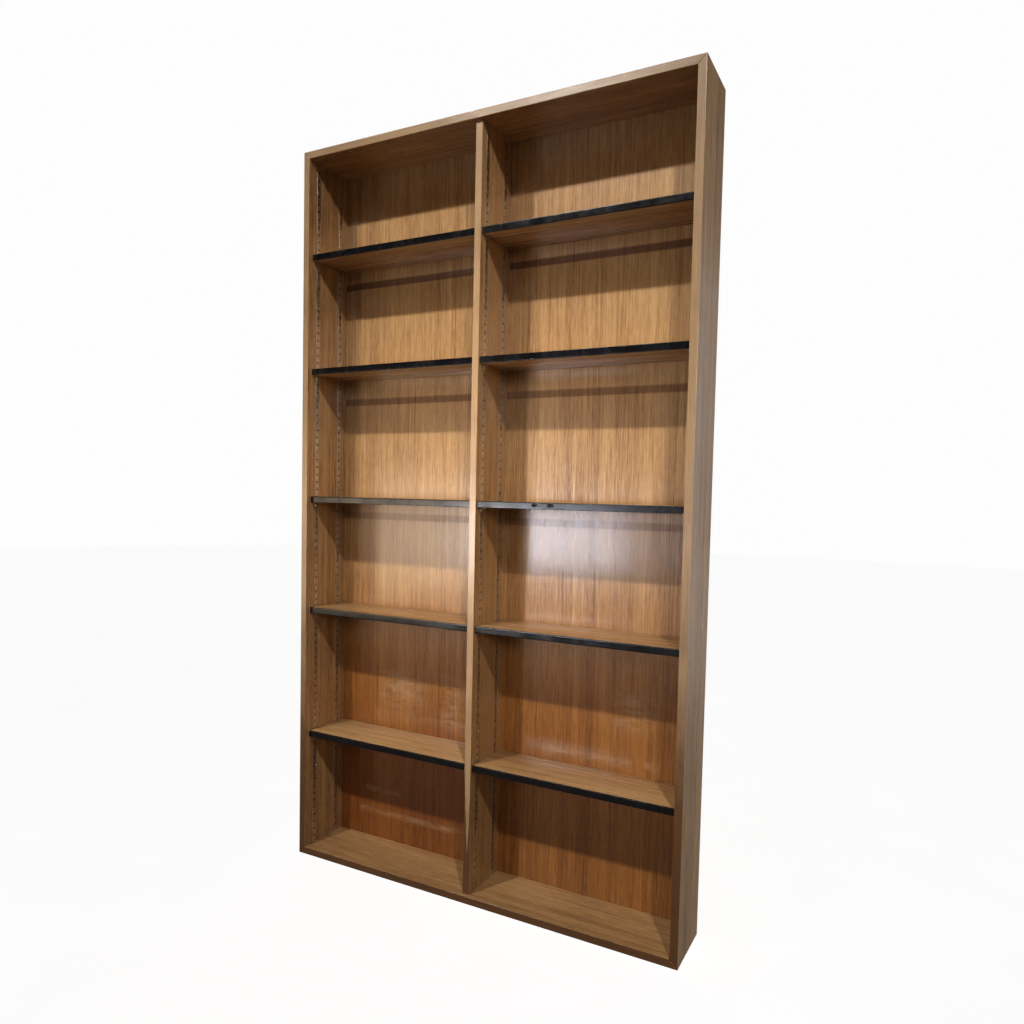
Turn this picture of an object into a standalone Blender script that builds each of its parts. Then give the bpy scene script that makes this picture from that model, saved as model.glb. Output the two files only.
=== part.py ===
"""Tall two-bay bookcase with ten adjustable shelves.

A mitred board carcass stands on its bottom board. A centre divider splits it
into two bays, and slotted steel standards are let in flush on every upright
face that carries shelves. Each shelf rests on clips hooked into the slots, so
it can be set at any slot. X runs along the width, -Y is the front and Z is up.
The origin is at floor level under the middle of the bookcase.
"""

import math

import bmesh
import bpy
from mathutils import Matrix, Vector

# ---------------------------------------------------------------- dimensions

GAP = 0.0003                      # clearance between pieces that touch

# Carcass
OVERALL_WIDTH = 1.340
OVERALL_HEIGHT = 2.350
OVERALL_DEPTH = 0.190
BOARD_THICKNESS = 0.023           # sides, top and bottom
DIVIDER_THICKNESS = 0.022
DIVIDER_SETBACK = 0.012           # divider edge behind the carcass front
FRONT_EDGE_RADIUS = 0.0012
BACK_THICKNESS = 0.005
REBATE_WIDTH = 0.008              # how far the back panel is let into each board
BACK_INSET = 0.0005               # back panel face in from the rear edges

# Hidden splines that lock the four mitres
SPLINE_THICKNESS = 0.004
SPLINE_WIDTH = 0.014              # across the mitre
SPLINE_END_MARGIN = 0.020         # solid board left in front of each spline

# Shelf standards, the slotted strips
STANDARD_WIDTH = 0.016
STANDARD_DEPTH = 0.0045
FRONT_STANDARD_INSET = 0.046      # front standard centre behind the carcass front
REAR_STANDARD_INSET = 0.034       # rear standard centre before the back panel
SLOT_PITCH = 0.025
SLOT_WIDTH = 0.011
SLOT_HEIGHT = 0.005
SLOT_DEPTH = 0.0035
FIRST_SLOT_HEIGHT = 0.0235        # first slot above the bottom board

# Shelves
SHELF_THICKNESS = 0.020
SHELF_SETBACK = 0.017             # shelf front behind the carcass front
SHELF_END_CLEARANCE = 0.0015      # between a shelf end and its upright
SHELF_REAR_CLEARANCE = 0.0015     # between a shelf and the back panel
SHELF_EDGE_RADIUS = 0.0008
LIPPING_DEPTH = 0.004             # dark strip glued along the front edge
SHELF_LEVELS = (0.857, 0.694, 0.509, 0.347, 0.162)    # shares of the inner height

# Shelf clips
CLIP_WIDTH = 0.0095
CLIP_THICKNESS = 0.0016
CLIP_ARM_LENGTH = 0.016
CLIP_ARM_RISE = 0.006             # arm's top above the slot's centre
CLIP_DROP = 0.009                 # web's foot below the slot's centre
CLIP_TONGUE_HEIGHT = 0.0036
CLIP_TONGUE_LENGTH = 0.0028       # how far the tongue reaches into the slot

# ------------------------------------------------------------ derived places

HALF_WIDTH = OVERALL_WIDTH / 2
FRONT_Y = -OVERALL_DEPTH / 2
REAR_Y = OVERALL_DEPTH / 2
INNER_BOTTOM = BOARD_THICKNESS
INNER_TOP = OVERALL_HEIGHT - BOARD_THICKNESS
INNER_HEIGHT = INNER_TOP - INNER_BOTTOM
SIDE_FACE_X = HALF_WIDTH - BOARD_THICKNESS      # inner face of the right side
DIVIDER_FACE_X = DIVIDER_THICKNESS / 2          # right face of the divider

BACK_REAR_Y = REAR_Y - BACK_INSET
BACK_FRONT_Y = BACK_REAR_Y - BACK_THICKNESS

STANDARD_ROWS = {
    "front": FRONT_Y + FRONT_STANDARD_INSET,
    "rear": BACK_FRONT_Y - REAR_STANDARD_INSET,
}
STANDARD_BOTTOM = INNER_BOTTOM + GAP
STANDARD_TOP = INNER_TOP - GAP
SLOT_COUNT = int((INNER_HEIGHT - FIRST_SLOT_HEIGHT - SLOT_HEIGHT) / SLOT_PITCH) + 1

# Every upright face that carries standards: its plane and the way it faces.
UPRIGHT_FACES = {
    "left_side": (-SIDE_FACE_X, 1),
    "divider_left": (-DIVIDER_FACE_X, -1),
    "divider_right": (DIVIDER_FACE_X, 1),
    "right_side": (SIDE_FACE_X, -1),
}

# Each bay: the two upright faces that its shelves hang between.
BAYS = {
    "left": ("left_side", "divider_left"),
    "right": ("divider_right", "right_side"),
}

# ----------------------------------------------------------------- materials

WALNUT = ("walnut_veneer", (0.36, 0.205, 0.105), 0.42, 0.0)
WALNUT_BACK = ("walnut_back_veneer", (0.40, 0.235, 0.12), 0.38, 0.0)
BEECH = ("beech_spline", (0.62, 0.44, 0.27), 0.60, 0.0)
BLACK_EDGE = ("black_lacquered_edge", (0.012, 0.012, 0.014), 0.25, 0.0)
STEEL = ("plated_steel", (0.52, 0.49, 0.43), 0.34, 1.0)
CLIP_STEEL = ("clip_steel", (0.60, 0.58, 0.54), 0.30, 1.0)


def material(settings):
    """Return the named Principled material, made the first time it is asked for."""
    name, colour, roughness, metallic = settings
    found = bpy.data.materials.get(name)
    if found:
        return found
    made = bpy.data.materials.new(name)
    made.use_nodes = True
    shader = made.node_tree.nodes["Principled BSDF"]
    shader.inputs["Base Color"].default_value = (*colour, 1.0)
    shader.inputs["Roughness"].default_value = roughness
    shader.inputs["Metallic"].default_value = metallic
    made.diffuse_color = (*colour, 1.0)
    return made


# ------------------------------------------------------------------- helpers

def clear_scene():
    for old in list(bpy.data.objects):
        bpy.data.objects.remove(old, do_unlink=True)


def new_collection(name):
    collection = bpy.data.collections.new(name)
    bpy.context.scene.collection.children.link(collection)
    return collection


def box_mesh(name, low, high):
    """A box between two corners, as a mesh whose origin is the world's."""
    low = Vector(low)
    high = Vector(high)
    bm = bmesh.new()
    bmesh.ops.create_cube(bm, size=1.0)
    bmesh.ops.scale(bm, vec=high - low, verts=bm.verts)
    bmesh.ops.translate(bm, vec=(low + high) / 2, verts=bm.verts)
    mesh = bpy.data.meshes.new(name)
    bm.to_mesh(mesh)
    bm.free()
    return mesh


def add_part(name, mesh, settings, parent=None):
    """Link a mesh as a part, held by its parent without moving it."""
    part = bpy.data.objects.new(name, mesh)
    mesh.materials.append(material(settings))
    parts.objects.link(part)
    if parent:
        part.parent = parent
        part.matrix_parent_inverse = Matrix.Translation(-parent.location)
    return part


def add_cutter(name, mesh):
    cutter = bpy.data.objects.new(name, mesh)
    cutter.hide_render = True
    cutter.display_type = "WIRE"
    cutters.objects.link(cutter)
    return cutter


def cut(part, cutter):
    modifier = part.modifiers.new(cutter.name, "BOOLEAN")
    modifier.operation = "DIFFERENCE"
    modifier.solver = "EXACT"
    modifier.object = cutter
    return modifier


def round_edges(mesh, radius, chosen):
    """Round the edges whose two ends both pass the test."""
    bm = bmesh.new()
    bm.from_mesh(mesh)
    edges = [edge for edge in bm.edges if all(chosen(vert.co) for vert in edge.verts)]
    bmesh.ops.bevel(bm, geom=edges, offset=radius, segments=2, profile=0.5, affect="EDGES")
    bm.to_mesh(mesh)
    bm.free()


# ------------------------------------------------------------------- carcass

def mitred_mesh(name, low, high, long_axis, inner_axis, inner_sign):
    """A board whose two ends are mitred, shortest on its inner face."""
    mesh = box_mesh(name, low, high)
    thickness = BOARD_THICKNESS
    middle = (low[long_axis] + high[long_axis]) / 2
    inner = high[inner_axis] if inner_sign > 0 else low[inner_axis]
    for vert in mesh.vertices:
        outward = 1 if vert.co[long_axis] > middle else -1
        on_inner_face = abs(vert.co[inner_axis] - inner) < thickness / 2
        pull = GAP / 2 + (thickness if on_inner_face else 0)
        vert.co[long_axis] -= outward * pull
    return mesh


def round_front(mesh):
    """Round the long edges of a carcass board's front."""
    round_edges(mesh, FRONT_EDGE_RADIUS, lambda co: co.y < FRONT_Y + GAP)


def side_board(name, sign):
    low_x, high_x = sorted((sign * HALF_WIDTH, sign * SIDE_FACE_X))
    low = (low_x, FRONT_Y, 0.0)
    high = (high_x, REAR_Y, OVERALL_HEIGHT)
    mesh = mitred_mesh(name, low, high, long_axis=2, inner_axis=0, inner_sign=-sign)
    round_front(mesh)
    return add_part(name, mesh, WALNUT)


def level_board(name, low_z, high_z, inner_sign):
    low = (-HALF_WIDTH, FRONT_Y, low_z)
    high = (HALF_WIDTH, REAR_Y, high_z)
    mesh = mitred_mesh(name, low, high, long_axis=0, inner_axis=2, inner_sign=inner_sign)
    round_front(mesh)
    return add_part(name, mesh, WALNUT)


def divider_board():
    low = (-DIVIDER_FACE_X, FRONT_Y + DIVIDER_SETBACK, INNER_BOTTOM + GAP)
    high = (DIVIDER_FACE_X, BACK_FRONT_Y - GAP, INNER_TOP - GAP)
    mesh = box_mesh("centre_divider", low, high)
    front = low[1]
    round_edges(mesh, FRONT_EDGE_RADIUS, lambda co: co.y < front + GAP)
    return add_part("centre_divider", mesh, WALNUT)


def back_panel():
    """The back panel, and the rebate that it seats in."""
    reach_x = SIDE_FACE_X + REBATE_WIDTH
    low_z = INNER_BOTTOM - REBATE_WIDTH
    high_z = INNER_TOP + REBATE_WIDTH
    low = (-reach_x + GAP, BACK_FRONT_Y, low_z + GAP)
    high = (reach_x - GAP, BACK_REAR_Y, high_z - GAP)
    panel = add_part("back_panel", box_mesh("back_panel", low, high), WALNUT_BACK)
    rebate_low = (-reach_x, BACK_FRONT_Y - GAP, low_z)
    rebate_high = (reach_x, REAR_Y + GAP, high_z)
    rebate = add_cutter("back_rebate", box_mesh("back_rebate", rebate_low, rebate_high))
    return panel, rebate


def spline_mesh(name, corner_x, corner_z, sign_x, sign_z, clearance):
    """A spline lying square across one mitre."""
    length = OVERALL_DEPTH - 2 * SPLINE_END_MARGIN
    half = Vector((SPLINE_WIDTH, length, SPLINE_THICKNESS)) / 2 + Vector((clearance,) * 3)
    mesh = box_mesh(name, -half, half)
    # The spline's middle is the mitre's middle.
    reach = BOARD_THICKNESS / 2
    centre = Vector((corner_x + sign_x * reach, 0.0, corner_z + sign_z * reach))
    turn = Matrix.Rotation(math.radians(45) * sign_x * sign_z, 4, "Y")
    mesh.transform(Matrix.Translation(centre) @ turn)
    return mesh


def corner_splines(boards):
    for sign_x, side in ((-1, "left"), (1, "right")):
        for sign_z, level in ((-1, "bottom"), (1, "top")):
            name = f"{level}_{side}_corner_spline"
            corner_x = sign_x * SIDE_FACE_X
            corner_z = INNER_TOP if sign_z > 0 else INNER_BOTTOM
            place = (corner_x, corner_z, sign_x, sign_z)
            add_part(name, spline_mesh(name, *place, 0.0), BEECH)
            cutter = add_cutter(f"{name}_slot", spline_mesh(name, *place, GAP))
            cut(boards[f"{side}_side"], cutter)
            cut(boards[f"{level}_panel"], cutter)


# ----------------------------------------------------------------- standards

def standard_box(name, face, row_y, clearance):
    """The box of a standard let into a face, or of its groove with a clearance."""
    face_x, facing = UPRIGHT_FACES[face]
    buried_x = face_x - facing * (STANDARD_DEPTH + clearance)
    open_x = face_x + facing * clearance
    low_x, high_x = sorted((buried_x, open_x))
    half_width = STANDARD_WIDTH / 2 + clearance
    low = (low_x, row_y - half_width, STANDARD_BOTTOM - clearance)
    high = (high_x, row_y + half_width, STANDARD_TOP + clearance)
    return box_mesh(name, low, high)


def slot_row(name, face, row_y):
    """One box at the lowest slot, repeated up the standard."""
    face_x, facing = UPRIGHT_FACES[face]
    low_x, high_x = sorted((face_x - facing * SLOT_DEPTH, face_x + facing * GAP))
    slot_z = INNER_BOTTOM + FIRST_SLOT_HEIGHT
    low = (low_x, row_y - SLOT_WIDTH / 2, slot_z - SLOT_HEIGHT / 2)
    high = (high_x, row_y + SLOT_WIDTH / 2, slot_z + SLOT_HEIGHT / 2)
    cutter = add_cutter(name, box_mesh(name, low, high))
    repeat = cutter.modifiers.new("slots", "ARRAY")
    repeat.use_relative_offset = False
    repeat.use_constant_offset = True
    repeat.constant_offset_displace = (0.0, 0.0, SLOT_PITCH)
    repeat.count = SLOT_COUNT
    return cutter


def standards(boards):
    """Let a front and a rear standard into every upright face."""
    for face in UPRIGHT_FACES:
        board = boards["centre_divider" if face.startswith("divider") else face]
        for row, row_y in STANDARD_ROWS.items():
            name = f"standard_{face}_{row}"
            groove = standard_box(name, face, row_y, GAP)
            cut(board, add_cutter(f"{name}_groove", groove))
            strip = add_part(name, standard_box(name, face, row_y, 0.0), STEEL)
            cut(strip, slot_row(f"{name}_slots", face, row_y))


# ------------------------------------------------------------------- shelves

def clip_part(name, face, row_y, slot_z, parent):
    """A hooked clip: tongue in the slot, web on the standard, arm under the shelf."""
    face_x, facing = UPRIGHT_FACES[face]
    web_near = GAP
    web_far = GAP + CLIP_THICKNESS
    arm_top = CLIP_ARM_RISE
    arm_foot = CLIP_ARM_RISE - CLIP_THICKNESS
    half_tongue = CLIP_TONGUE_HEIGHT / 2
    outline = [
        (web_near, arm_top),
        (web_near, half_tongue),
        (-CLIP_TONGUE_LENGTH, half_tongue),
        (-CLIP_TONGUE_LENGTH, -half_tongue),
        (web_near, -half_tongue),
        (web_near, -CLIP_DROP),
        (web_far, -CLIP_DROP),
        (web_far + CLIP_THICKNESS, arm_foot - CLIP_THICKNESS),
        (web_far + 2 * CLIP_THICKNESS, arm_foot),
        (CLIP_ARM_LENGTH, arm_foot),
        (CLIP_ARM_LENGTH, arm_top),
    ]
    curve = bpy.data.curves.new(name, "CURVE")
    curve.dimensions = "2D"
    curve.fill_mode = "BOTH"
    curve.extrude = CLIP_WIDTH / 2
    spline = curve.splines.new("POLY")
    spline.points.add(len(outline) - 1)
    for point, (across, up) in zip(spline.points, outline):
        point.co = (across * facing, up, 0.0, 1.0)
    spline.use_cyclic_u = True
    drawn = bpy.data.objects.new(name + "_outline", curve)
    parts.objects.link(drawn)
    bpy.context.view_layer.update()
    graph = bpy.context.evaluated_depsgraph_get()
    mesh = bpy.data.meshes.new_from_object(drawn.evaluated_get(graph))
    bpy.data.objects.remove(drawn, do_unlink=True)
    mesh.name = name
    # The outline is drawn flat, so it is stood up: its Y becomes world Z.
    stand = Matrix.Rotation(math.radians(90), 4, "X")
    mesh.transform(Matrix.Translation((face_x, row_y, slot_z)) @ stand)
    bm = bmesh.new()
    bm.from_mesh(mesh)
    bmesh.ops.remove_doubles(bm, verts=bm.verts, dist=1e-6)
    bmesh.ops.recalc_face_normals(bm, faces=bm.faces)
    bm.to_mesh(mesh)
    bm.free()
    return add_part(name, mesh, CLIP_STEEL, parent)


def nearest_slot(level):
    """The slot nearest to a share of the inner height."""
    return round((level * INNER_HEIGHT - FIRST_SLOT_HEIGHT) / SLOT_PITCH)


def shelf(bay, number, slot):
    """A shelf board with its front lipping and its two front clips."""
    left_face, right_face = BAYS[bay]
    low_x = UPRIGHT_FACES[left_face][0] + SHELF_END_CLEARANCE
    high_x = UPRIGHT_FACES[right_face][0] - SHELF_END_CLEARANCE
    slot_z = INNER_BOTTOM + FIRST_SLOT_HEIGHT + slot * SLOT_PITCH
    low_z = slot_z + CLIP_ARM_RISE + GAP
    high_z = low_z + SHELF_THICKNESS
    front_y = FRONT_Y + SHELF_SETBACK
    board_y = front_y + LIPPING_DEPTH + GAP
    name = f"shelf_{bay}_{number}"

    mount = bpy.data.objects.new(f"{name}_slide", None)
    mount.location = ((low_x + high_x) / 2, 0.0, low_z)
    parts.objects.link(mount)

    rear_y = BACK_FRONT_Y - SHELF_REAR_CLEARANCE
    board = box_mesh(name, (low_x, board_y, low_z), (high_x, rear_y, high_z))
    add_part(name, board, WALNUT, mount)
    lipping_name = f"{name}_front_edge"
    lipping_y = front_y + LIPPING_DEPTH
    lipping = box_mesh(lipping_name, (low_x, front_y, low_z), (high_x, lipping_y, high_z))
    round_edges(lipping, SHELF_EDGE_RADIUS, lambda co: co.y < front_y + GAP)
    add_part(lipping_name, lipping, BLACK_EDGE, mount)
    for end, face in (("left", left_face), ("right", right_face)):
        clip_part(f"{name}_clip_{end}", face, STANDARD_ROWS["front"], slot_z, mount)


# --------------------------------------------------------------------- build

def build():
    boards = {
        "left_side": side_board("left_side", -1),
        "right_side": side_board("right_side", 1),
        "top_panel": level_board("top_panel", INNER_TOP, OVERALL_HEIGHT, -1),
        "bottom_panel": level_board("bottom_panel", 0.0, INNER_BOTTOM, 1),
        "centre_divider": divider_board(),
    }
    _, rebate = back_panel()
    for name in ("left_side", "right_side", "top_panel", "bottom_panel"):
        cut(boards[name], rebate)
    corner_splines(boards)
    standards(boards)
    for bay in BAYS:
        for number, level in enumerate(SHELF_LEVELS, start=1):
            shelf(bay, number, nearest_slot(level))


clear_scene()
parts = new_collection("bookcase")
cutters = new_collection("cutters")
build()
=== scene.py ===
"""Tall two-bay bookcase with adjustable shelves: its finished surfaces and fittings.

Run as a script. Each operator makes one piece, or one group of like pieces, in
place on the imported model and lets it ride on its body. X runs along the width,
-Y is the front and Z is up. Lengths are metres.
"""

import math
import random

import bmesh
import bpy
from bpy.props import (
    FloatProperty,
    FloatVectorProperty,
    IntProperty,
    PointerProperty,
)
from mathutils import Matrix, Vector, noise


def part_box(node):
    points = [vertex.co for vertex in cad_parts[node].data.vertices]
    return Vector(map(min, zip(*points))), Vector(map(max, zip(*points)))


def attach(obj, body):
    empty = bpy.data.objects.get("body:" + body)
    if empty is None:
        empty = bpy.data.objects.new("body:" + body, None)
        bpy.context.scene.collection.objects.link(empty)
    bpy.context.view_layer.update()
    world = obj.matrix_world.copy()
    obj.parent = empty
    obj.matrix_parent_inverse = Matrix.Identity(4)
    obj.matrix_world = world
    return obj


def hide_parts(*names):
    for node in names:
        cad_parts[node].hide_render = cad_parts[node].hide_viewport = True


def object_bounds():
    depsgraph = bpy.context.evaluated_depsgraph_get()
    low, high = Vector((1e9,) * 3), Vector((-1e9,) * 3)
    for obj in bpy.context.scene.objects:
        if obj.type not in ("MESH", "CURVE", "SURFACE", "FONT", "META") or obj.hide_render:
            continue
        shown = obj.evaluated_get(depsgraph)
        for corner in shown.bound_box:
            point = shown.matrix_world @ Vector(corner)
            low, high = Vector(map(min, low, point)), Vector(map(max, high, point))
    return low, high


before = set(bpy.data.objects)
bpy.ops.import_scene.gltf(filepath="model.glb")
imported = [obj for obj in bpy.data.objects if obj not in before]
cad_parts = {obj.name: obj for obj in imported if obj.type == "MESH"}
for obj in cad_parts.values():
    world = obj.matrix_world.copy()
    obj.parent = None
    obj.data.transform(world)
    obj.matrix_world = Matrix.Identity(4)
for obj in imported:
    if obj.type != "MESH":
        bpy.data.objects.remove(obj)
CAD_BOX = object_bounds()

bl_info = {
    "name": "Bookcase with adjustable shelves",
    "version": (1, 0, 0),
    "blender": (4, 5, 0),
    "location": "3D View > Sidebar > Bookcase",
    "description": "Veneer, lippings, standards and clips of a two-bay bookcase",
    "category": "Add Mesh",
}

SEED = 11
BAYS = {
    "left": ("left_side", "divider_left"),
    "right": ("divider_right", "right_side"),
}
FACING = {"left_side": 1, "divider_left": -1, "divider_right": 1, "right_side": -1}
ROWS = ("front", "rear")
SHELVES = [(bay, number) for bay in BAYS for number in range(1, 6)]

# The grain, as noise fields: scale, detail and roughness, and their share of the tone.
GRAIN_SQUEEZE = 0.014
RIBBON = (34.0, 2.0, 0.5)
STREAK = (250.0, 3.0, 0.62)
LINE = (900.0, 2.0, 0.6)
FLECK = (120.0, 2.0, 0.5)
CLOUD = (2.3, 3.0, 0.55)
PORES = (1500.0, 1.0, 0.5)
GRAIN_SHARES = (0.58, 0.98, 0.95, 0.32, 0.40)
PORE_SHARE = -0.12
TONE_STOPS = (0.16, 0.50, 0.86)
WHITE = (1.0, 1.0, 1.0, 1.0)

# Wear on the back panel: height and strength of each line, then the two corners,
# softness and strength of each scuff, in X and Z.
SHELF_LINES = ((1.955, 0.95), (1.555, 0.72), (1.160, 0.50))
SCUFFS = (
    ((-0.46, 0.50), (-0.30, 0.62), 0.040, 0.38),
    ((-0.22, 0.46), (-0.12, 0.62), 0.040, 0.36),
    ((-0.54, 0.186), (-0.38, 0.200), 0.010, 0.36),
    ((-0.56, 0.108), (-0.13, 0.122), 0.012, 0.46),
    ((0.40, 0.56), (0.52, 0.66), 0.035, 0.34),
    ((0.16, 0.440), (0.46, 0.468), 0.012, 0.34),
    ((0.50, 0.448), (0.545, 0.470), 0.009, 0.40),
)
SIDE_LINES = ((1.326, 0.18), (0.694, 0.30))

# Metres, except where a count.
PIN_INSET = 0.0042
PIN_HEAD = (0.0011, 0.00035, 0.0011)
BAND_MARGIN = 0.0004
BAND_STEPS = 150
CLIP_RISE = 0.006              # from a slot's middle to the top of its clip
SLOT_CORNER = 0.0014
SLOT_RIM = 0.0004
SLOT_DISH = 0.00012
NAIL_HEIGHT = 0.00065
LIPPING_STEPS = 320
LIPPING_ROWS = 8
LIPPING_RADIUS = 0.0011
CHIPS_EACH = 3
FLOOR_RADIUS = 16.0

# Place, aim, size, colour and spread in degrees of each lower lamp.
LAMPS = {
    "window": ((-1.36, -3.0, 0.92), (0.30, 0.09, 1.1), (1.1, 0.44),
               (0.85, 0.88, 1.0), 46.0),
    "room_left": ((-2.6, -3.0, 0.90), (-0.30, 0.09, 1.1), (1.6, 1.0),
                  (1.0, 0.78, 0.54), 42.0),
    "low_right": ((2.42, -2.95, 2.15), (-0.10, 0.09, 1.16), (0.9, 0.9),
                  (1.0, 0.90, 0.78), 28.0),
    "low_left": ((-1.36, -3.0, 1.45), (0.0, 0.09, 1.40), (0.5, 0.4),
                 (1.0, 0.93, 0.86), 25.0),
    "room_right": ((3.2, 2.2, 1.30), (0.67, 0.0, 1.15), (2.2, 3.0),
                   (0.86, 0.92, 1.0), 180.0),
}
LOW_LEFT_SHARE = 0.56          # of the low right lamp's power
KEY_AIM = (0.0, 0.0, 1.35)
KEY_COLOUR = (1.0, 0.965, 0.92)
KEY_SPREAD = 80.0
OFF_THE_FLOOR = ("key_left", "key_right", "low_right", "low_left", "room_right")


# ---------- settings

class BookcaseSizes(bpy.types.PropertyGroup):
    """Sizes of the fittings and of the eased edges."""

    arris: FloatProperty(
        name="Arris",
        description="How far the shelf edges are eased",
        default=0.0006, unit="LENGTH")
    sheet: FloatProperty(
        name="Standard sheet",
        description="Thickness of the folded steel of a standard",
        default=0.0011, unit="LENGTH")
    fold: FloatProperty(
        name="Standard fold",
        description="Outer radius of a standard's folded corner",
        default=0.0011, unit="LENGTH")
    pitch: FloatProperty(
        name="Slot pitch",
        description="Height from one slot to the next",
        default=0.025, unit="LENGTH")
    slot_width: FloatProperty(
        name="Slot width",
        description="Width of a slot",
        default=0.0105, unit="LENGTH")
    slot_height: FloatProperty(
        name="Slot height",
        description="Height of a slot",
        default=0.005, unit="LENGTH")
    nail_every: IntProperty(
        name="Nail spacing",
        description="Slots from one nail of a standard to the next",
        default=13)
    nail_radius: FloatProperty(
        name="Nail radius",
        description="Radius of a nail head in a standard",
        default=0.0026, unit="LENGTH")
    clip_width: FloatProperty(
        name="Clip width",
        description="Width of a shelf clip",
        default=0.0095, unit="LENGTH")
    clip_sheet: FloatProperty(
        name="Clip sheet",
        description="Thickness of the bent steel of a clip",
        default=0.0015, unit="LENGTH")
    band: FloatProperty(
        name="Edge band",
        description="Thickness of the band on the divider's front edge",
        default=0.0009, unit="LENGTH")
    pin_every: FloatProperty(
        name="Pin spacing",
        description="Distance between the pins that hold the back panel",
        default=0.125, unit="LENGTH")


class BookcaseFinish(bpy.types.PropertyGroup):
    """Colours of the wood, the lacquer and the steel."""

    veneer_dark: FloatVectorProperty(
        name="Veneer, dark grain",
        description="Colour of the veneer's darkest grain",
        default=(0.175, 0.082, 0.034), subtype="COLOR")
    veneer_middle: FloatVectorProperty(
        name="Veneer, ground",
        description="Colour of the veneer's ground",
        default=(0.385, 0.209, 0.084), subtype="COLOR")
    veneer_light: FloatVectorProperty(
        name="Veneer, light grain",
        description="Colour of the veneer's lightest grain",
        default=(0.560, 0.345, 0.152), subtype="COLOR")
    band_colour: FloatVectorProperty(
        name="Front band",
        description="Tint of the solid bands on the carcass front",
        default=(0.44, 0.28, 0.150), subtype="COLOR")
    band_bright: FloatVectorProperty(
        name="Divider band",
        description="Tint of the paler band on the divider's front edge",
        default=(0.55, 0.34, 0.175), subtype="COLOR")
    # Painted shade: the tint the front bands take near the floor, darker and browner.
    band_low_shade: FloatVectorProperty(
        name="Front band, low",
        description="Tint of the front bands near the floor, where they are browner",
        default=(0.135, 0.050, 0.015), subtype="COLOR")
    lipping: FloatVectorProperty(
        name="Lipping",
        description="Colour of the black lacquered shelf edges",
        default=(0.0030, 0.0028, 0.0036), subtype="COLOR")
    steel: FloatVectorProperty(
        name="Standards",
        description="Colour of the plated steel standards",
        default=(0.74, 0.70, 0.62), subtype="COLOR")
    scuff: FloatVectorProperty(
        name="Scuffs",
        description="Colour of the veneer where its lacquer is rubbed through",
        default=(0.62, 0.44, 0.27), subtype="COLOR")
    clip: FloatVectorProperty(
        name="Clips",
        description="Colour of the clips' bright steel",
        default=(0.66, 0.65, 0.62), subtype="COLOR")


class BookcaseStage(bpy.types.PropertyGroup):
    """Camera, lights and floor."""

    eye: FloatVectorProperty(
        name="Camera",
        description="Where the camera stands",
        default=(1.1977, -1.9675, 1.2371), subtype="TRANSLATION", unit="LENGTH")
    yaw: FloatProperty(
        name="Yaw",
        description="How far the camera turns to the left",
        default=0.46679, subtype="ANGLE", unit="ROTATION")
    pitch: FloatProperty(
        name="Pitch",
        description="How far the camera looks down",
        default=0.04937, subtype="ANGLE", unit="ROTATION")
    roll: FloatProperty(
        name="Roll",
        description="How far the camera leans",
        default=0.02347, subtype="ANGLE", unit="ROTATION")
    lens: FloatProperty(
        name="Lens",
        description="Focal length on a 36 mm sensor",
        default=26.26, unit="CAMERA")
    shift: FloatVectorProperty(
        name="Shift",
        description="Lens shift across and up",
        default=(-0.0337, 0.0220), size=2)
    key_left: FloatVectorProperty(
        name="Left key light",
        description="Where the left key light hangs",
        default=(-1.33, -2.95, 4.80), subtype="TRANSLATION", unit="LENGTH")
    key_right: FloatVectorProperty(
        name="Right key light",
        description="Where the right key light hangs",
        default=(2.42, -2.95, 4.80), subtype="TRANSLATION", unit="LENGTH")
    key_power: FloatVectorProperty(
        name="Key powers",
        description="Powers of the left and the right key light, in watts",
        default=(23.5, 23.0), size=2)
    key_size: FloatProperty(
        name="Key size",
        description="Width of each key light",
        default=0.14, unit="LENGTH")
    window_power: FloatProperty(
        name="Window power",
        description="Power of the low light at the front left",
        default=1.80, unit="POWER")
    room_power: FloatProperty(
        name="Room power",
        description="Power of the wide warm light at the left",
        default=1.25, unit="POWER")
    side_power: FloatProperty(
        name="Side power",
        description="Power of the wide light that the right side mirrors",
        default=88.0, unit="POWER")
    low_power: FloatProperty(
        name="Low right power",
        description="Power of the soft light at the front right, at half height",
        default=1.10, unit="POWER")
    ambient: FloatVectorProperty(
        name="Ambient",
        description="Colour of the light from all round",
        default=(0.014, 0.013, 0.014), subtype="COLOR")
    floor: FloatVectorProperty(
        name="Floor",
        description="Colour of the floor and the surroundings",
        default=(0.93, 0.93, 0.93), subtype="COLOR")


# ---------- materials

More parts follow.
